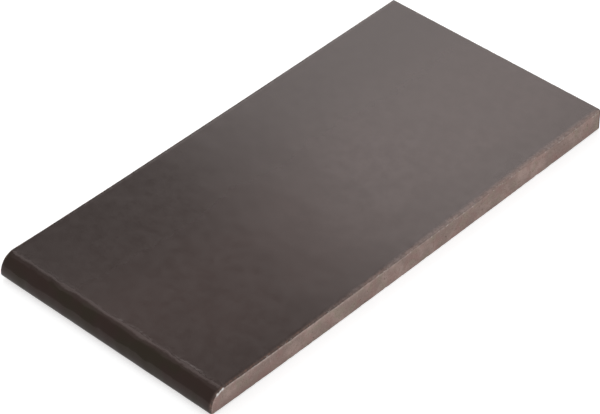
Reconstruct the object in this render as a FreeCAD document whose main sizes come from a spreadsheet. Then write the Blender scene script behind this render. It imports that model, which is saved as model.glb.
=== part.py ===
import FreeCAD, Part
import math
import os
import Sketcher

# Window sill tile, fired in one piece: a flat clay slab with a glazed top and a
# rounded front nose, bare clay edges and a shallow keyed underside for the bed mortar.
# Frame: nose towards -Y, sill depth along Y, tile width along X, top face up.
# The origin is the middle of the underside.

DIMENSIONS = [
    # name, value in millimetres or a count
    ("sill_depth", 300.0),
    ("tile_width", 148.0),
    ("tile_thickness", 13.0),
    ("nose_radius", 10.5),
    ("nose_centre_height", 2.7),
    ("crease_radius", 3.0),
    ("foot_radius", 2.3),
    ("arris_radius", 0.6),
    ("key_width", 6.0),
    ("key_depth", 1.0),
    ("key_draft_angle", 20.0),
    ("key_spacing", 13.0),
    ("key_count", 10),
    ("key_nose_margin", 32.0),
    ("key_back_margin", 12.0),
]

NODE = "sill_tile"
EDGE_TOLERANCE = 0.01


def origin_feature(body, role):
    return [item for item in body.Origin.OriginFeatures if item.Role == role][0]


def add_sketch(body, name, role):
    sketch = body.newObject("Sketcher::SketchObject", name)
    sketch.AttachmentSupport = [(origin_feature(body, role), "")]
    sketch.MapMode = "FlatFace"
    return sketch


def bind_constraint(sketch, kind, arguments, name, expression):
    index = sketch.addConstraint(Sketcher.Constraint(kind, *arguments))
    sketch.renameConstraint(index, name)
    sketch.setExpression("Constraints." + name, expression)


def edges_where(shape, test):
    names = []
    for number, edge in enumerate(shape.Edges, start=1):
        if test(edge.BoundBox):
            names.append("Edge%d" % number)
    return names


doc = FreeCAD.newDocument("sill_tile_model")

sheet = doc.addObject("Spreadsheet::Sheet", "Sizes")
for row, (alias, value) in enumerate(DIMENSIONS, start=1):
    sheet.set("A%d" % row, alias.replace("_", " "))
    sheet.set("B%d" % row, str(value))
    sheet.setAlias("B%d" % row, alias)
doc.recompute()

size = dict(DIMENSIONS)
half_depth = size["sill_depth"] / 2.0
half_width = size["tile_width"] / 2.0
thickness = size["tile_thickness"]

body = doc.addObject("PartDesign::Body", "SillTile")
body.Label = NODE

# Side profile of the slab, drawn from the nose to the back edge
nose_rise = thickness - size["nose_centre_height"]
nose_run = size["nose_radius"] - (size["nose_radius"] ** 2 - nose_rise ** 2) ** 0.5
front_low = FreeCAD.Vector(-half_depth, 0, 0)
back_low = FreeCAD.Vector(half_depth, 0, 0)
back_high = FreeCAD.Vector(half_depth, thickness, 0)
crease = FreeCAD.Vector(-half_depth + nose_run, thickness, 0)
front_high = FreeCAD.Vector(-half_depth, size["nose_centre_height"], 0)
nose_centre = FreeCAD.Vector(-half_depth + size["nose_radius"], size["nose_centre_height"], 0)
nose_middle = nose_centre + FreeCAD.Vector(-1, 1, 0).normalize() * size["nose_radius"]

profile = add_sketch(body, "SideProfile", "YZ_Plane")
LOW, BACK, TOP, NOSE, FRONT = range(5)
START, END, CENTRE = range(1, 4)
ORIGIN_POINT = (-1, START)
profile.addGeometry(Part.LineSegment(front_low, back_low), False)
profile.addGeometry(Part.LineSegment(back_low, back_high), False)
profile.addGeometry(Part.LineSegment(back_high, crease), False)
profile.addGeometry(Part.Arc(crease, nose_middle, front_high), False)
profile.addGeometry(Part.LineSegment(front_high, front_low), False)
arc_start_is_crease = profile.getPoint(NOSE, START).distanceToPoint(crease) < EDGE_TOLERANCE
NOSE_TOP = START if arc_start_is_crease else END
NOSE_FRONT = END if arc_start_is_crease else START
profile.addConstraint(Sketcher.Constraint("Coincident", LOW, END, BACK, START))
profile.addConstraint(Sketcher.Constraint("Coincident", BACK, END, TOP, START))
profile.addConstraint(Sketcher.Constraint("Coincident", TOP, END, NOSE, NOSE_TOP))
profile.addConstraint(Sketcher.Constraint("Tangent", NOSE, NOSE_FRONT, FRONT, START))
profile.addConstraint(Sketcher.Constraint("Coincident", FRONT, END, LOW, START))
profile.addConstraint(Sketcher.Constraint("Horizontal", LOW))
profile.addConstraint(Sketcher.Constraint("Horizontal", TOP))
profile.addConstraint(Sketcher.Constraint("Vertical", BACK))
profile.addConstraint(Sketcher.Constraint("Vertical", FRONT))
profile.addConstraint(Sketcher.Constraint("Symmetric", LOW, START, LOW, END, *ORIGIN_POINT))
bind_constraint(profile, "DistanceX", (LOW, START, LOW, END, size["sill_depth"]),
                "depth", "Sizes.sill_depth")
bind_constraint(profile, "DistanceY", (BACK, START, BACK, END, thickness),
                "thickness", "Sizes.tile_thickness")
bind_constraint(profile, "DistanceY", (LOW, START, NOSE, CENTRE, size["nose_centre_height"]),
                "nose_centre", "Sizes.nose_centre_height")
bind_constraint(profile, "Radius", (NOSE, size["nose_radius"]),
                "nose_radius", "Sizes.nose_radius")

slab = body.newObject("PartDesign::Pad", "Slab")
slab.Profile = profile
slab.SideType = "Symmetric"
slab.setExpression("Length", "Sizes.tile_width")
doc.recompute()

# Rounded foot of the nose, and the soft line where the nose meets the top face
foot = body.newObject("PartDesign::Fillet", "NoseFoot")
foot.Base = (slab, edges_where(slab.Shape, lambda box: box.XLength > half_width
                               and box.YMax < -half_depth + EDGE_TOLERANCE
                               and box.ZMax < EDGE_TOLERANCE))
foot.setExpression("Radius", "Sizes.foot_radius")
doc.recompute()

soft_crease = body.newObject("PartDesign::Fillet", "NoseCrease")
soft_crease.Base = (foot, edges_where(foot.Shape, lambda box: box.XLength > half_width
                                      and box.ZMin > thickness - EDGE_TOLERANCE
                                      and box.YMax < 0))
soft_crease.setExpression("Radius", "Sizes.crease_radius")
doc.recompute()

# Arrises round both long sides and the back edge
arris = body.newObject("PartDesign::Fillet", "Arrises")
arris.Base = (soft_crease, edges_where(soft_crease.Shape, lambda box:
                                       box.XMin > half_width - EDGE_TOLERANCE
                                       or box.XMax < -half_width + EDGE_TOLERANCE
                                       or box.YMin > half_depth - EDGE_TOLERANCE))
arris.setExpression("Radius", "Sizes.arris_radius")
doc.recompute()

# Shallow key grooves pressed into the underside, inside a plain border
groove_left = -(size["key_count"] - 1) * size["key_spacing"] / 2.0 - size["key_width"] / 2.0
groove_right = groove_left + size["key_width"]
groove_front = -half_depth + size["key_nose_margin"]
groove_back = half_depth - size["key_back_margin"]
corners = [
    FreeCAD.Vector(groove_left, groove_front, 0),
    FreeCAD.Vector(groove_right, groove_front, 0),
    FreeCAD.Vector(groove_right, groove_back, 0),
    FreeCAD.Vector(groove_left, groove_back, 0),
]
key_sketch = add_sketch(body, "KeyOutline", "XY_Plane")
for number in range(4):
    key_sketch.addGeometry(Part.LineSegment(corners[number], corners[(number + 1) % 4]), False)
for number in range(4):
    key_sketch.addConstraint(Sketcher.Constraint("Coincident", number, END,
                                                 (number + 1) % 4, START))
key_sketch.addConstraint(Sketcher.Constraint("Horizontal", 0))
key_sketch.addConstraint(Sketcher.Constraint("Vertical", 1))
key_sketch.addConstraint(Sketcher.Constraint("Horizontal", 2))
key_sketch.addConstraint(Sketcher.Constraint("Vertical", 3))
bind_constraint(key_sketch, "DistanceX", (0, START, 0, END, size["key_width"]),
                "key_width", "Sizes.key_width")
bind_constraint(key_sketch, "DistanceX", (0, START, *ORIGIN_POINT, -groove_left),
                "first_key", "(Sizes.key_count - 1) * Sizes.key_spacing / 2 + Sizes.key_width / 2")
bind_constraint(key_sketch, "DistanceY", (0, START, *ORIGIN_POINT, -groove_front),
                "key_front", "Sizes.sill_depth / 2 - Sizes.key_nose_margin")
bind_constraint(key_sketch, "DistanceY", (*ORIGIN_POINT, 2, START, groove_back),
                "key_back", "Sizes.sill_depth / 2 - Sizes.key_back_margin")

key = body.newObject("PartDesign::Pocket", "KeyGroove")
key.Profile = key_sketch
key.Reversed = True
key.setExpression("Length", "Sizes.key_depth")
key.setExpression("TaperAngle", "-Sizes.key_draft_angle * 1 deg")
doc.recompute()

keys = body.newObject("PartDesign::LinearPattern", "KeyGrooves")
keys.Originals = [key]
keys.Direction = (origin_feature(body, "X_Axis"), [""])
keys.Mode = "Spacing"
keys.setExpression("Offset", "Sizes.key_spacing")
keys.setExpression("Occurrences", "Sizes.key_count")
body.Tip = keys
doc.recompute()

# Checks before anything is written
key_slope = math.tan(math.radians(size["key_draft_angle"])) * size["key_depth"]
key_mean_section = (size["key_width"] - key_slope) * (groove_back - groove_front - key_slope)
expected_cut = size["key_count"] * size["key_depth"] * key_mean_section
real_cut = arris.Shape.Volume - body.Shape.Volume
if abs(real_cut - expected_cut) > 0.01 * expected_cut:
    raise RuntimeError("grooves cut %.1f, expected %.1f" % (real_cut, expected_cut))
for item in doc.Objects:
    if "Invalid" in item.State or "Error" in item.State:
        raise RuntimeError("%s failed: %s" % (item.Name, item.State))
for sketch in (profile, key_sketch):
    if sketch.solve() != 0:
        raise RuntimeError("%s isn't solved" % sketch.Name)
if body.Shape.isNull() or not body.Shape.isValid() or len(body.Shape.Solids) != 1:
    raise RuntimeError("the tile isn't one valid solid")

os.makedirs("parts", exist_ok=True)
body.Shape.exportStep(os.path.join("parts", body.Label + ".step"))
bounds = body.Shape.optimalBoundingBox()
print(NODE, "volume %.0f" % body.Shape.Volume,
      "box %.2f %.2f %.2f" % (bounds.XLength, bounds.YLength, bounds.ZLength))
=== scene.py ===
import math

import bpy
import numpy as np
from mathutils import Matrix, Vector, noise


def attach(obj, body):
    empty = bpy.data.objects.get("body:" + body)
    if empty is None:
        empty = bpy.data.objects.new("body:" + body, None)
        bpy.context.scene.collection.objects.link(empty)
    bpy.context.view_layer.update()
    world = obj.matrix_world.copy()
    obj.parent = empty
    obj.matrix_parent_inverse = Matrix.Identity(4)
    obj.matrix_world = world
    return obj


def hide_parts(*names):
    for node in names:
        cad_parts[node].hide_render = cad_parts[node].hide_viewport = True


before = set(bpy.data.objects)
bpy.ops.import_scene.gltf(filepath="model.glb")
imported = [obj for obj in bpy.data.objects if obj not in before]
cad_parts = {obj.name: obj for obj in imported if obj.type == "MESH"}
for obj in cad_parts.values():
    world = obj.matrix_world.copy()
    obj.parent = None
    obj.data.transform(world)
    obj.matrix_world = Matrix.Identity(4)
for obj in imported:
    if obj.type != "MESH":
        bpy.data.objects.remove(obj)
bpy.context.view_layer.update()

# Sizes in millimetres, as in the solid model
MM = 0.001
DEPTH = 300.0
WIDTH = 148.0
THICK = 13.0
NOSE_RADIUS = 10.5
NOSE_HEIGHT = 2.7
CREASE_RADIUS = 3.0
FOOT_RADIUS = 2.3
ARRIS = 0.6
RIGHT_ARRIS_WIDTH = 2.2
KEY_WIDTH = 6.0
KEY_DEPTH = 1.0
KEY_SPACING = 13.0
KEY_COUNT = 10
KEY_NOSE_MARGIN = 32.0
KEY_BACK_MARGIN = 12.0
KEY_SOFT = (-0.12, 0.18, 0.48)

HALF_DEPTH = DEPTH / 2
HALF_WIDTH = WIDTH / 2

# How finely each run of the section is divided
ARC_STEPS = 4
TOP_STEPS = 250
CREASE_RUN = 3.0
CREASE_STEPS = 6
NOSE_TOP_STEPS = 9
NOSE_FRONT_STEPS = 14
KEY_END_STEPS = 2
KEY_STEPS = 225
BACK_BORDER_STEPS = 10
FRONT_BORDER_STEPS = 26
BACK_STEPS = 11
ARRIS_TURNS = range(10, 91, 10)
NEAR_RIM = (2.2, 2.7, 3.3, 4.2, 5.6, 7.6, 10.0)

# Relief as layers of noise: height, size of the lumps, seed
WAVES = ((0.035, 26.0, 1), (0.012, 8.0, 2))
ROUGH = ((0.05, 3.5, 3), (0.035, 1.3, 4))
NOSE_WAVES = ((0.26, 11.0, 9), (0.13, 4.5, 10))
CREASE_WANDER = ((0.35, 18.0, 6), (0.6, 6.5, 7), (0.7, 3.4, 8))
CREASE_REACH = 3.0
EDGE_WEAR = 0.03
EDGE_WEAR_WIDTH = 1.0
EDGE_WEAR_SIZE = 2.4

# Nicks: how many on each edge, and the ranges of their radius and depth
NICK_SEED = 41
SIDE_NICKS = ((1, 26), (-1, 12))
BACK_NICKS = 8
TOP_NICK = ((0.35, 0.8), (0.08, 0.22))
LOW_NICK = ((0.4, 1.0), (0.05, 0.16))
BACK_NICK = ((0.4, 0.8), (0.06, 0.14))

# Fresh chips at the near corner: turn round the nose and radius of each
FRESH_CHIPS = ((10.5, 0.75), (20.0, 0.6), (33.0, 0.85))
FRESH_DEPTH = 0.3
FRESH_INSET = 1.15

# The tile is slightly bowed along its depth: height = sum of these times powers of y / half depth
BOW = ((2, 0.568), (3, -0.526), (4, 0.471))

# Camera, from the tile's outline in the photograph
VIEW_AZIMUTH = 43.066
VIEW_ELEVATION = 40.342
VIEW_ROLL = -0.331
VIEW_DISTANCE = 1435.29
VIEW_SLIDE = (5.019, 2.749)
FOCAL_PIXELS = 2749.42
IMAGE_WIDTH = 600
SENSOR = 36.0


def srgb(r, g, b):
    values = []
    for level in (r, g, b):
        c = level / 255.0
        values.append(c / 12.92 if c <= 0.04045 else ((c + 0.055) / 1.055) ** 2.4)
    return (*values, 1.0)


# Colours of the glaze and of the clay
GLAZE_BROWN = srgb(47, 34, 30)
GLAZE_WARM = srgb(51, 37, 33)
GLAZE_MOTTLE = srgb(44, 32, 28)
# Painted shade for the glaze towards the long sides
GLAZE_SIDE_SHADE = srgb(31, 18, 12)
NOSE_REDDISH = srgb(38, 24, 18)
NOSE_OLIVE = srgb(33, 27, 13)
GLAZE_THIN = srgb(84, 70, 63)
GLAZE_RUSTY = srgb(112, 78, 64)
MILKY_GREY = srgb(140, 126, 122)
MILKY_PINK = srgb(146, 128, 122)
# Painted glints along the glaze edge on the right side
GLINT_ON_GLAZE = srgb(200, 190, 184)
GLINT_ON_CLAY = srgb(225, 214, 208)
CLAY_DARK = srgb(154, 134, 127)
CLAY_PALE = srgb(181, 158, 150)
CLAY_PINK = srgb(160, 128, 122)
CLAY_OLIVE = srgb(156, 144, 130)
CLAY_SHADE = srgb(126, 110, 100)
CLAY_LOW = srgb(142, 116, 110)
GRAIN_PALE = srgb(186, 170, 160)
GRAIN_DARK = srgb(112, 96, 88)
CLAY_PIT = srgb(84, 62, 56)
CLAY_PALE_EDGE = srgb(200, 184, 176)
CLAY_FRESH = srgb(252, 250, 247)
CLAY_CRACK = srgb(92, 62, 54)

# Gloss of the glaze, and the clay's bare surface
GLAZE_INDEX = 1.5
GLAZE_SPECULAR = 0.35
GLAZE_TINT = (1.0, 0.825, 0.795, 1.0)
GLAZE_ROUGHNESS = (0.15, 0.19)
WORN_ROUGHNESS = 0.35
NOSE_POLISH = -0.06
CLAY_ROUGHNESS = 0.85


def bow(y):
    t = y / HALF_DEPTH
    return sum(amount * t ** power for power, amount in BOW)


def smooth_step(low, high, value):
    t = np.clip((value - low) / (high - low), 0.0, 1.0)
    return t * t * (3 - 2 * t)


def noise_at(points, size, seed):
    shift = Vector((seed * 17.3, seed * 7.7, seed * 3.1))
    return np.array([noise.noise(Vector(p) / size + shift) for p in points])


def layered(points, layers):
    return sum(height * noise_at(points, size, seed) for height, size, seed in layers)


# Profile of the tile across its nose, as points (y, z, normal y, normal z)
def normal_at(angle):
    a = math.radians(angle)
    return -math.sin(a), math.cos(a)


def arc(centre_y, centre_z, radius, start, end, count):
    rows = []
    for angle in np.linspace(start, end, count + 1):
        ny, nz = normal_at(angle)
        rows.append((centre_y + radius * ny, centre_z + radius * nz, ny, nz))
    return rows


def line(start, end, angle, count):
    ny, nz = normal_at(angle)
    ys = np.linspace(start[0], end[0], count + 1)
    zs = np.linspace(start[1], end[1], count + 1)
    return [(y, z, ny, nz) for y, z in zip(ys, zs)]


def join(*parts):
    rows = list(parts[0])
    for part in parts[1:]:
        rows += part[1:]
    return np.array(rows)


nose_y = -HALF_DEPTH + NOSE_RADIUS
crease_z = THICK - CREASE_RADIUS
crease_reach = NOSE_RADIUS - CREASE_RADIUS
crease_y = nose_y - math.sqrt(crease_reach ** 2 - (crease_z - NOSE_HEIGHT) ** 2)
crease_turn = math.degrees(math.atan2(nose_y - crease_y, crease_z - NOSE_HEIGHT))
back_y = HALF_DEPTH - ARRIS
foot_y = -HALF_DEPTH + FOOT_RADIUS
key_front = -HALF_DEPTH + KEY_NOSE_MARGIN
key_back = HALF_DEPTH - KEY_BACK_MARGIN

top_chain = join(
    arc(back_y, THICK - ARRIS, ARRIS, -45, 0, ARC_STEPS),
    line((back_y, THICK), (crease_y + CREASE_RUN, THICK), 0, TOP_STEPS),
    line((crease_y + CREASE_RUN, THICK), (crease_y, THICK), 0, CREASE_STEPS),
    arc(crease_y, crease_z, CREASE_RADIUS, 0, crease_turn, ARC_STEPS),
    arc(nose_y, NOSE_HEIGHT, NOSE_RADIUS, crease_turn, 45, NOSE_TOP_STEPS),
)
front_chain = join(
    arc(nose_y, NOSE_HEIGHT, NOSE_RADIUS, 45, 90, NOSE_FRONT_STEPS),
    line((-HALF_DEPTH, NOSE_HEIGHT), (-HALF_DEPTH, FOOT_RADIUS), 90, 1),
    arc(foot_y, FOOT_RADIUS, FOOT_RADIUS, 90, 135, ARC_STEPS),
)
bottom_chain = join(
    arc(back_y, ARRIS, ARRIS, 225, 180, ARC_STEPS),
    line((back_y, 0), (key_back - KEY_SOFT[0], 0), 180, BACK_BORDER_STEPS),
    line((key_back - KEY_SOFT[0], 0), (key_back - KEY_SOFT[2], 0), 180, KEY_END_STEPS),
    line((key_back - KEY_SOFT[2], 0), (key_front + KEY_SOFT[2], 0), 180, KEY_STEPS),
    line((key_front + KEY_SOFT[2], 0), (key_front + KEY_SOFT[0], 0), 180, KEY_END_STEPS),
    line((key_front + KEY_SOFT[0], 0), (foot_y, 0), 180, FRONT_BORDER_STEPS),
    arc(foot_y, FOOT_RADIUS, FOOT_RADIUS, 180, 135, ARC_STEPS),
)
back_chain = join(
    arc(back_y, ARRIS, ARRIS, 225, 270, ARC_STEPS),
    line((HALF_DEPTH, ARRIS), (HALF_DEPTH, THICK - ARRIS), 270, BACK_STEPS),
    arc(back_y, THICK - ARRIS, ARRIS, 270, 315, ARC_STEPS),
)
LONG = len(top_chain) - 1
HIGH = len(front_chain) - 1
assert len(bottom_chain) - 1 == LONG and len(back_chain) - 1 == HIGH
loop = np.array(list(top_chain[:-1]) + list(front_chain[:-1])
                + list(bottom_chain[::-1][:-1]) + list(back_chain[:-1]))
LOOP = len(loop)

# Stations across the width: the rounded arrises, and lines that follow the grooves
first_key = -(KEY_COUNT - 1) * KEY_SPACING / 2
inner = []
for number in range(KEY_COUNT):
    middle = first_key + number * KEY_SPACING
    for step in KEY_SOFT + (KEY_WIDTH / 4,):
        inner += [middle - KEY_WIDTH / 2 + step, middle + KEY_WIDTH / 2 - step]
    inner.append(middle)
    if number:
        between = middle - KEY_SPACING / 2
        inner += [between - KEY_WIDTH / 4, between, between + KEY_WIDTH / 4]
inner += [side * (HALF_WIDTH - step) for step in NEAR_RIM for side in (-1, 1)]
turns = [math.radians(a) for a in ARRIS_TURNS]
stations = [(-1, turn) for turn in reversed(turns)]
stations += [(x, 0.0) for x in sorted(inner)]
stations += [(1, turn) for turn in turns]
ACROSS = len(stations)

place = []
normals = []
widened = ARRIS + (RIGHT_ARRIS_WIDTH - ARRIS) * smooth_step(-0.9, 0.2, loop[:, 3])
for across, turn in stations:
    ring = np.zeros((LOOP, 3))
    facing = np.zeros((LOOP, 3))
    if turn:
        arris_width = widened if across > 0 else np.full(LOOP, ARRIS)
        ring[:, 0] = across * (HALF_WIDTH - arris_width * (1 - math.sin(turn)))
        ring[:, 1:] = loop[:, :2] - ARRIS * (1 - math.cos(turn)) * loop[:, 2:]
        facing[:, 0] = across * math.sin(turn) / arris_width
        facing[:, 1:] = math.cos(turn) / ARRIS * loop[:, 2:]
        facing /= np.linalg.norm(facing, axis=1)[:, None]
    else:
        ring[:, 0] = across
        ring[:, 1:] = loop[:, :2]
        facing[:, 1:] = loop[:, 2:]
    place.append(ring)
    normals.append(facing)
place = np.concatenate(place)
normals = np.concatenate(normals)

faces = []
for j in range(ACROSS - 1):
    for i in range(LOOP):
        n = (i + 1) % LOOP
        faces.append((j * LOOP + i, (j + 1) * LOOP + i, (j + 1) * LOOP + n, j * LOOP + n))


# Side faces: a grid stretched between the four runs of the last ring
def side_face(ring_number, outward):
    start = ring_number * LOOP
    ring = place[start:start + LOOP]
    top_ids = list(range(0, LONG + 1))
    front_ids = list(range(LONG, LONG + HIGH + 1))
    bottom_ids = [LONG + HIGH + LONG - i for i in range(LONG + 1)]
    back_ids = [(LONG + HIGH + LONG + k) % LOOP for k in range(HIGH + 1)]
    extra = []
    grid = {}
    base = len(place) + sum(len(block) for block in side_blocks)
    for i in range(LONG + 1):
        for k in range(HIGH + 1):
            if k == HIGH:
                grid[i, k] = start + top_ids[i]
            elif k == 0:
                grid[i, k] = start + bottom_ids[i]
            elif i == 0:
                grid[i, k] = start + back_ids[k]
            elif i == LONG:
                grid[i, k] = start + front_ids[HIGH - k]
            else:
                u, v = i / LONG, k / HIGH
                across_v = (1 - v) * ring[bottom_ids[i]] + v * ring[top_ids[i]]
                across_u = (1 - u) * ring[back_ids[k]] + u * ring[front_ids[HIGH - k]]
                corners = ((1 - u) * (1 - v) * ring[bottom_ids[0]] + u * (1 - v) * ring[bottom_ids[LONG]]
                           + (1 - u) * v * ring[top_ids[0]] + u * v * ring[top_ids[LONG]])
                grid[i, k] = base + len(extra)
                extra.append(across_v + across_u - corners)
    for i in range(LONG):
        for k in range(HIGH):
            quad = (grid[i, k], grid[i + 1, k], grid[i + 1, k + 1], grid[i, k + 1])
            faces.append(quad[::-1] if outward > 0 else quad)
    side_blocks.append(np.array(extra))
    side_normals.append(np.tile((outward, 0.0, 0.0), (len(extra), 1)))


side_blocks = []
side_normals = []
side_face(0, -1.0)
side_face(ACROSS - 1, 1.0)
place = np.concatenate([place] + side_blocks)
normals = np.concatenate([normals] + side_normals)
rest = place.copy()
x, y, z = rest.T

# Grooves pressed into the underside
lane = np.abs((x - first_key + KEY_SPACING / 2) % KEY_SPACING - KEY_SPACING / 2)
inside = np.minimum(KEY_WIDTH / 2 - lane, np.minimum(y - key_front, key_back - y))
inside = np.where(np.abs(x) < -first_key + KEY_SPACING / 2, inside, -1.0)
sunk = smooth_step(KEY_SOFT[0], KEY_SOFT[2], inside) * (normals[:, 2] < -0.99)
place[:, 2] += KEY_DEPTH * sunk

# Relief: soft waves in the glaze, rough clay, worn arrises
edge_gap = np.minimum(HALF_WIDTH - np.abs(x), HALF_DEPTH - y)
glazed = smooth_step(0.6, 1.6, edge_gap) * smooth_step(0.3, 1.5, z)
lift = layered(rest, WAVES) + (1.0 - glazed) * layered(rest, ROUGH)
on_nose = smooth_step(0, -6, y - nose_y) * smooth_step(0, 3, z)
lift += on_nose * layered(rest, NOSE_WAVES)

near_edge = np.exp(-((edge_gap + np.abs(z - THICK) * 0.6) / EDGE_WEAR_WIDTH) ** 2)
near_edge[z < NOSE_HEIGHT] = 0
lift -= near_edge * EDGE_WEAR * (1 + noise_at(rest, EDGE_WEAR_SIZE, 5))

# Distance along the surface from the foot of the arris: inboard is positive, down the sides negative
nose_depth = NOSE_RADIUS - np.hypot(y - nose_y, z - NOSE_HEIGHT)
front_depth = np.where(z > NOSE_HEIGHT, nose_depth, y + HALF_DEPTH)
depth_in = np.where(y < nose_y, np.minimum(front_depth, THICK - z), THICK - z)
rim = np.where(depth_in > ARRIS, ARRIS - depth_in, edge_gap)

# The line where the nose meets the top wanders a little
along = np.c_[x, x * 0, x * 0]
at_crease = np.exp(-((y - crease_y) / CREASE_REACH) ** 2) * smooth_step(8, 11, z)
place[:, 1] += layered(along, CREASE_WANDER) * at_crease


# Nicks along the edges, and the three fresh chips at the near corner
def nick(across, back, up, radii, depths):
    return (across, back, up, dice.uniform(*radii), dice.uniform(*depths), 0.0)


dice = np.random.default_rng(NICK_SEED)
nicks = []
for side, count in SIDE_NICKS:
    for _ in range(count):
        nicks.append(nick(side * (HALF_WIDTH - 0.1), dice.uniform(-138, 148), THICK - 0.8, *TOP_NICK))
    for _ in range(count):
        nicks.append(nick(side * (HALF_WIDTH - 0.15), dice.uniform(-145, 148), 0.2, *LOW_NICK))
for _ in range(BACK_NICKS):
    nicks.append(nick(dice.uniform(-70, 70), HALF_DEPTH - 0.2, THICK - 0.25, *BACK_NICK))
for angle, radius in FRESH_CHIPS:
    ny, nz = normal_at(angle)
    reach = NOSE_RADIUS - FRESH_INSET
    nicks.append((HALF_WIDTH, nose_y + reach * ny, NOSE_HEIGHT + reach * nz, radius, FRESH_DEPTH, 1.0))
chip = np.zeros(len(rest))
for cx, cy, cz, radius, depth, fresh in nicks:
    near = np.flatnonzero((np.abs(y - cy) < 3 * radius) & (np.abs(x - cx) < 3 * radius))
    gap = np.linalg.norm(rest[near] - (cx, cy, cz), axis=1)
    bite = np.exp(-(gap / radius) ** 2)
    lift[near] -= depth * bite
    chip[near] = np.maximum(chip[near], fresh * smooth_step(0.15, 0.5, bite))

place += normals * lift[:, None]
place[:, 2] += bow(rest[:, 1])
place[:, 2] -= place[:, 2].min()

mesh = bpy.data.meshes.new("sill_tile_body")
mesh.from_pydata((place * MM).tolist(), [], faces)
mesh.update()
rest_place = mesh.attributes.new("rest_place", "FLOAT_VECTOR", "POINT")
rest_place.data.foreach_set("vector", (rest * MM).astype(np.float32).ravel())
chip_layer = mesh.attributes.new("chip", "FLOAT", "POINT")
chip_layer.data.foreach_set("value", chip.astype(np.float32))
rim_layer = mesh.attributes.new("rim", "FLOAT", "POINT")
rim_layer.data.foreach_set("value", (rim * MM).astype(np.float32))
mesh.polygons.foreach_set("use_smooth", [True] * len(mesh.polygons))
tile = bpy.data.objects.new("fired_tile", mesh)
bpy.context.scene.collection.objects.link(tile)


# Material helpers
class Nodes:
    def __init__(self, name):
        self.material = bpy.data.materials.new(name)
        self.material.use_nodes = True
        self.tree = self.material.node_tree
        self.tree.nodes.clear()

    def add(self, kind, settings=None, **inputs):
        node = self.tree.nodes.new(kind)
        for key, value in (settings or {}).items():
            setattr(node, key, value)
        for key, value in inputs.items():
            self.put(node, key.replace("_", " "), value)
        return node

    def put(self, node, key, value):
        socket = node.inputs[int(key)] if key.isdigit() else node.inputs[key]
        if isinstance(value, bpy.types.NodeSocket):
            self.tree.links.new(value, socket)
        else:
            socket.default_value = value

    def math(self, operation, a, b=None, c=None):
        node = self.tree.nodes.new("ShaderNodeMath")
        node.operation = operation
        for index, value in enumerate((a, b, c)):
            if value is not None:
                self.put(node, str(index), value)
        return node.outputs[0]

    def noise(self, place_socket, size, detail=2.0, roughness=0.5):
        node = self.add("ShaderNodeTexNoise", Vector=place_socket, Scale=1.0 / (size * MM),
                        Detail=detail, Roughness=roughness)
        return node.outputs["Fac"]

    def ramp(self, value, low, high, out_low=0.0, out_high=1.0):
        node = self.add("ShaderNodeMapRange", {"interpolation_type": "SMOOTHSTEP"}, Value=value)
        for key, number in (("From Min", low), ("From Max", high),
                            ("To Min", out_low), ("To Max", out_high)):
            self.put(node, key, number)
        return node.outputs["Result"]

    def mix(self, factor, a, b):
        node = self.tree.nodes.new("ShaderNodeMix")
        node.data_type = "RGBA"
        self.put(node, "0", factor)
        self.put(node, "6", a)
        self.put(node, "7", b)
        return node.outputs[2]

    def finish(self, shader):
        output = self.tree.nodes.new("ShaderNodeOutputMaterial")
        self.tree.links.new(shader, output.inputs["Surface"])
        return self.material


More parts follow.
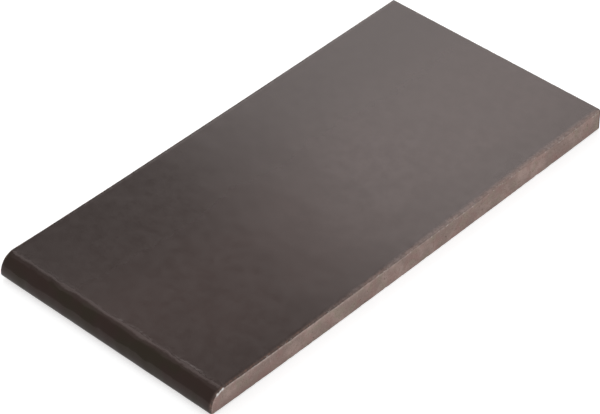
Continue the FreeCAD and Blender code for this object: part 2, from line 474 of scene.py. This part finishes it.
def tile_material():
    n = Nodes("glazed_clay")
    where = n.add("ShaderNodeAttribute", {"attribute_name": "rest_place"}).outputs["Vector"]
    fresh = n.add("ShaderNodeAttribute", {"attribute_name": "chip"}).outputs["Fac"]
    parts = n.add("ShaderNodeSeparateXYZ", Vector=where)
    px, py, pz = parts.outputs

    # The glaze ends at the arrises; along the right side it is rubbed thin, more so towards the back
    rim_place = n.add("ShaderNodeAttribute", {"attribute_name": "rim"}).outputs["Fac"]
    ragged = n.noise(where, 2.6, 3.0, 0.6)
    drift = n.noise(where, 9.0, 2.0, 0.5)
    frayed = n.math("ADD", n.math("MULTIPLY", n.math("SUBTRACT", ragged, 0.5), 1.0 * MM),
                    n.math("MULTIPLY", n.math("SUBTRACT", drift, 0.5), 2.4 * MM))
    right_gap = n.math("SUBTRACT", HALF_WIDTH * MM, px)
    back_gap = n.math("SUBTRACT", HALF_DEPTH * MM, py)
    to_right = n.math("MULTIPLY", n.ramp(right_gap, 14 * MM, 8 * MM),
                      n.ramp(n.math("SUBTRACT", back_gap, right_gap), -0.5 * MM, 1.0 * MM))
    back_part = n.math("MULTIPLY", n.ramp(py, -30 * MM, 100 * MM), to_right)
    retreat = n.math("MULTIPLY_ADD", back_part, 0.25 * MM, -0.3 * MM)
    border = n.math("MULTIPLY_ADD", frayed, 0.35, retreat)
    from_border = n.math("SUBTRACT", rim_place, border)
    glaze_in = n.ramp(from_border, -0.08 * MM, 0.12 * MM)
    rub_width = n.ramp(py, -100 * MM, 100 * MM, 1.9 * MM, 3.2 * MM)
    rub_place = n.math("DIVIDE", n.math("MULTIPLY_ADD", frayed, 0.6, rim_place), rub_width)
    rubbed = n.math("MULTIPLY", n.ramp(rub_place, 0.15, 1.2, 1.0, 0.0), to_right)
    show = n.ramp(py, -110 * MM, 30 * MM, 0.16, 0.85)
    speckle = n.ramp(n.noise(where, 1.7, 3.0, 0.7), 0.38, 0.62, 0.75, 1.25)
    worn = n.math("MINIMUM", n.math("MULTIPLY", n.math("MULTIPLY", rubbed, show), speckle), 1.0)
    foot_line = n.math("MULTIPLY_ADD", n.math("SUBTRACT", ragged, 0.5), 0.8 * MM, 0.45 * MM)
    glaze_up = n.ramp(n.math("SUBTRACT", pz, foot_line), -0.1 * MM, 0.15 * MM)
    glaze = n.math("MULTIPLY", glaze_in, glaze_up)
    glaze = n.math("MULTIPLY", glaze, n.math("SUBTRACT", 1.0, fresh))

    # Glaze: dark brown, faintly mottled, darker and tinged reddish to olive on the nose
    cloud = n.noise(where, 38.0, 3.0, 0.55)
    mottle = n.noise(where, 5.0, 4.0, 0.6)
    brown = n.mix(n.ramp(cloud, 0.35, 0.65), GLAZE_BROWN, GLAZE_WARM)
    brown = n.mix(n.ramp(mottle, 0.3, 0.7, 0.0, 0.4), brown, GLAZE_MOTTLE)
    # Painted shade: the glaze is darkened towards both long sides, most towards the left
    painted_side_shade = n.math("MAXIMUM", n.ramp(px, 10 * MM, -62 * MM),
                      n.ramp(px, 35 * MM, 74 * MM, 0.0, 0.45))
    brown = n.mix(painted_side_shade, brown, GLAZE_SIDE_SHADE)
    on_nose = n.ramp(py, (nose_y - 2.5) * MM, (nose_y - 6.0) * MM)
    tinge = n.ramp(n.noise(where, 15.0, 1.0, 0.5), 0.4, 0.6)
    brown = n.mix(on_nose, brown, n.mix(tinge, NOSE_REDDISH, NOSE_OLIVE))
    thin = n.ramp(from_border, 0.4 * MM, 1.8 * MM, 1.0, 0.0)
    brown = n.mix(n.math("MULTIPLY", thin, ragged), brown, GLAZE_THIN)
    rusty = n.math("MULTIPLY", n.ramp(from_border, 1.6 * MM, 0.5 * MM),
                   n.ramp(n.noise(where, 1.8, 3.0, 0.7), 0.48, 0.6, 0.0, 0.75))
    brown = n.mix(rusty, brown, GLAZE_RUSTY)
    milky = n.mix(n.ramp(drift, 0.4, 0.6), MILKY_GREY, MILKY_PINK)
    brown = n.mix(worn, brown, milky)

    # Bare clay: pinkish grey with fine light and dark grains
    patch = n.noise(where, 17.0, 4.0, 0.65)
    pinker = n.noise(where, 9.0, 3.0, 0.6)
    grain = n.noise(where, 0.7, 2.0, 0.7)
    coarse = n.noise(where, 2.4, 3.0, 0.65)
    clay = n.mix(n.ramp(patch, 0.38, 0.62), CLAY_DARK, CLAY_PALE)
    clay = n.mix(n.ramp(pinker, 0.45, 0.65, 0.0, 0.55), clay, CLAY_PINK)
    greyer = n.noise(where, 6.0, 2.0, 0.5)
    clay = n.mix(n.ramp(greyer, 0.5, 0.66, 0.0, 0.6), clay, CLAY_OLIVE)
    clay = n.mix(n.ramp(coarse, 0.55, 0.8, 0.0, 0.6), clay, CLAY_SHADE)
    clay = n.mix(n.ramp(grain, 0.58, 0.72, 0.0, 0.7), clay, GRAIN_PALE)
    clay = n.mix(n.ramp(grain, 0.42, 0.28, 0.0, 0.7), clay, GRAIN_DARK)
    pits = n.ramp(n.noise(where, 2.0, 2.0, 0.6), 0.34, 0.27, 0.0, 0.75)
    clay = n.mix(pits, clay, CLAY_PIT)
    low_side = n.math("MULTIPLY", n.ramp(pz, 7.5 * MM, 1.5 * MM),
                      n.ramp(py, -70 * MM, -125 * MM, 0.0, 0.55))
    clay = n.mix(low_side, clay, CLAY_LOW)
    # A pale line on the clay just below the glaze edge, stronger towards the nose
    pale_line = n.ramp(from_border, -1.5 * MM, -0.2 * MM)
    pale_edge_line = n.math("MULTIPLY", pale_line, n.ramp(py, 110 * MM, -120 * MM, 0.05, 0.8))
    pale_edge_line = n.math("MULTIPLY", pale_edge_line, n.ramp(coarse, 0.4, 0.62, 0.35, 1.3))
    pale_edge_line = n.math("MULTIPLY", pale_edge_line, n.ramp(py, (nose_y - 7) * MM, nose_y * MM, 0.25, 1.0))
    clay = n.mix(pale_edge_line, clay, CLAY_PALE_EDGE)
    clay = n.mix(fresh, clay, CLAY_FRESH)
    crack = n.ramp(n.math("ABSOLUTE", n.math("SUBTRACT", back_gap, 1.1 * MM)), 0.5 * MM, 0.15 * MM)
    crack = n.math("MULTIPLY", crack, n.ramp(right_gap, 1.0 * MM, 0.3 * MM))
    clay = n.mix(n.math("MULTIPLY", crack, n.ramp(ragged, 0.35, 0.5, 0.4, 0.9)), clay, CLAY_CRACK)
    # Painted glints: bright specks on the clay and glaze close to the glaze edge along the right side
    painted_glints = n.math("MULTIPLY", n.ramp(n.math("ABSOLUTE", from_border), 0.9 * MM, 0.4 * MM),
                   n.ramp(n.noise(where, 1.5, 2.0, 0.5), 0.6, 0.68))
    painted_glints = n.math("MULTIPLY", painted_glints, to_right)
    clay = n.mix(n.math("MULTIPLY", painted_glints, 0.7), clay, GLINT_ON_CLAY)
    brown = n.mix(n.math("MULTIPLY", painted_glints, 0.35), brown, GLINT_ON_GLAZE)

    color = n.mix(glaze, clay, brown)
    gloss = n.math("MULTIPLY_ADD", worn, WORN_ROUGHNESS, n.ramp(mottle, 0.3, 0.7, *GLAZE_ROUGHNESS))
    gloss = n.math("MULTIPLY_ADD", on_nose, NOSE_POLISH, gloss)
    over_clay = n.math("MULTIPLY", glaze, n.math("SUBTRACT", gloss, CLAY_ROUGHNESS))
    roughness = n.math("ADD", over_clay, CLAY_ROUGHNESS)

    ripple = n.noise(where, 3.2, 2.0, 0.5)
    soft_height = n.math("MULTIPLY", ripple, 0.012 * MM)
    rough_height = n.math("MULTIPLY_ADD", grain, 0.16 * MM, n.math("MULTIPLY", coarse, 0.2 * MM))
    height = n.math("ADD", n.math("MULTIPLY", glaze, soft_height),
                    n.math("MULTIPLY", n.math("SUBTRACT", 1.0, glaze), rough_height))
    height = n.math("ADD", height, n.math("MULTIPLY", glaze, 0.12 * MM))
    at_crease = n.ramp(n.math("ABSOLUTE", n.math("SUBTRACT", py, crease_y * MM)), 3.0 * MM, 0.5 * MM)
    beads = n.math("MULTIPLY", n.math("SUBTRACT", n.noise(where, 2.9, 2.0, 0.5), 0.5), 0.22 * MM)
    beads = n.math("MULTIPLY", beads, at_crease)
    height = n.math("ADD", height, n.math("MULTIPLY", beads, glaze))
    bump = n.add("ShaderNodeBump", Strength=0.6, Distance=1.0, Height=height)

    shader = n.add("ShaderNodeBsdfPrincipled", Base_Color=color, Roughness=roughness,
                   Normal=bump.outputs["Normal"])
    shader.inputs["IOR"].default_value = GLAZE_INDEX
    shader.inputs["Specular IOR Level"].default_value = GLAZE_SPECULAR
    shader.inputs["Specular Tint"].default_value = GLAZE_TINT
    return n.finish(shader.outputs["BSDF"])


mesh.materials.append(tile_material())
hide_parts("sill_tile")
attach(tile, "root")

# Floor: white to the camera and in reflections, and it keeps the tile's shadow
FLOOR_HALF = 30.0
FLOOR_GREY = (0.66, 0.66, 0.66, 1.0)
WHITE = (1.0, 1.0, 1.0, 1.0)
CAMERA_GLOW = 0.6
MIRROR_GLOW = 0.42
SKY_LEVEL = 0.62
floor_mesh = bpy.data.meshes.new("studio_floor")
floor_mesh.from_pydata([(-FLOOR_HALF, -FLOOR_HALF, 0), (FLOOR_HALF, -FLOOR_HALF, 0),
                        (FLOOR_HALF, FLOOR_HALF, 0), (-FLOOR_HALF, FLOOR_HALF, 0)], [], [(0, 1, 2, 3)])
floor = bpy.data.objects.new("studio_floor", floor_mesh)
bpy.context.scene.collection.objects.link(floor)
f = Nodes("studio_floor")
rays = f.add("ShaderNodeLightPath")
mirrored = f.math("MAXIMUM", rays.outputs["Is Glossy Ray"], rays.outputs["Is Transmission Ray"])
to_camera = f.math("MULTIPLY", rays.outputs["Is Camera Ray"], CAMERA_GLOW)
seen = f.math("MAXIMUM", to_camera, f.math("MULTIPLY", mirrored, MIRROR_GLOW))
matt = f.add("ShaderNodeBsdfDiffuse", Color=FLOOR_GREY)
glow = f.add("ShaderNodeEmission", Color=WHITE, Strength=seen)
both = f.tree.nodes.new("ShaderNodeAddShader")
f.put(both, "0", matt.outputs["BSDF"])
f.put(both, "1", glow.outputs["Emission"])
floor_mesh.materials.append(f.finish(both.outputs["Shader"]))

# World: even pale studio light
world = bpy.data.worlds.new("studio")
bpy.context.scene.world = world
world.use_nodes = True
sky = world.node_tree
sky.nodes.clear()
ambient = sky.nodes.new("ShaderNodeBackground")
ambient.inputs["Color"].default_value = WHITE
ambient.inputs["Strength"].default_value = SKY_LEVEL
sky_output = sky.nodes.new("ShaderNodeOutputWorld")
sky.links.new(ambient.outputs["Background"], sky_output.inputs["Surface"])


def soft_lamp(name, azimuth, elevation, distance, size, radiance, spin):
    """Azimuth 0 stands at -Y and 90 at +X, as for the camera."""
    a, e = math.radians(azimuth), math.radians(elevation)
    away = Vector((math.sin(a) * math.cos(e), -math.cos(a) * math.cos(e), math.sin(e)))
    lamp = bpy.data.lights.new(name, "AREA")
    lamp.shape = "RECTANGLE"
    lamp.size, lamp.size_y = size
    lamp.energy = radiance * math.pi * size[0] * size[1]
    holder = bpy.data.objects.new(name, lamp)
    holder.matrix_world = (Matrix.Translation(away * distance)
                           @ away.to_track_quat("Z", "Y").to_matrix().to_4x4()
                           @ Matrix.Rotation(math.radians(spin), 4, "Z"))
    holder.visible_camera = False
    bpy.context.scene.collection.objects.link(holder)


LAMPS = {
    "back_panel": (217.0, 34.9, 2.45, (0.7, 1.2), 2.51, 55.0),
    "back_glow": (217.1, 39.6, 2.2, (0.3, 0.16), 0.8, 0.0),
    "left_panel": (248.5, 54.5, 2.2, (0.95, 0.95), 1.6, 0.0),
    "side_panel": (75.0, 50.0, 2.6, (1.6, 1.6), 1.2, 0.0),
    "nose_panel": (286.0, 56.5, 2.2, (0.66, 0.66), 0.32, 0.0),
}
for lamp_name, settings in LAMPS.items():
    soft_lamp(lamp_name, *settings)

# Camera
a, e, r = (math.radians(v) for v in (VIEW_AZIMUTH, VIEW_ELEVATION, VIEW_ROLL))
right_axis = Vector((math.cos(a), math.sin(a), 0))
back_axis = Vector((math.sin(a) * math.cos(e), -math.cos(a) * math.cos(e), math.sin(e)))
up_axis = back_axis.cross(right_axis)
row_right = math.cos(r) * right_axis + math.sin(r) * up_axis
row_up = -math.sin(r) * right_axis + math.cos(r) * up_axis
eye = -(VIEW_SLIDE[0] * row_right + VIEW_SLIDE[1] * row_up - VIEW_DISTANCE * back_axis) * MM
camera_turn = Matrix((row_right, row_up, back_axis)).transposed()
camera_data = bpy.data.cameras.new("camera")
camera_data.sensor_width = SENSOR
camera_data.lens = FOCAL_PIXELS / IMAGE_WIDTH * SENSOR
camera_data.clip_start = 0.05
camera_data.clip_end = 100.0
camera = bpy.data.objects.new("camera", camera_data)
camera.matrix_world = Matrix.Translation(eye) @ camera_turn.to_4x4()
bpy.context.scene.collection.objects.link(camera)
bpy.context.scene.camera = camera
bpy.context.scene.view_settings.view_transform = "Standard"
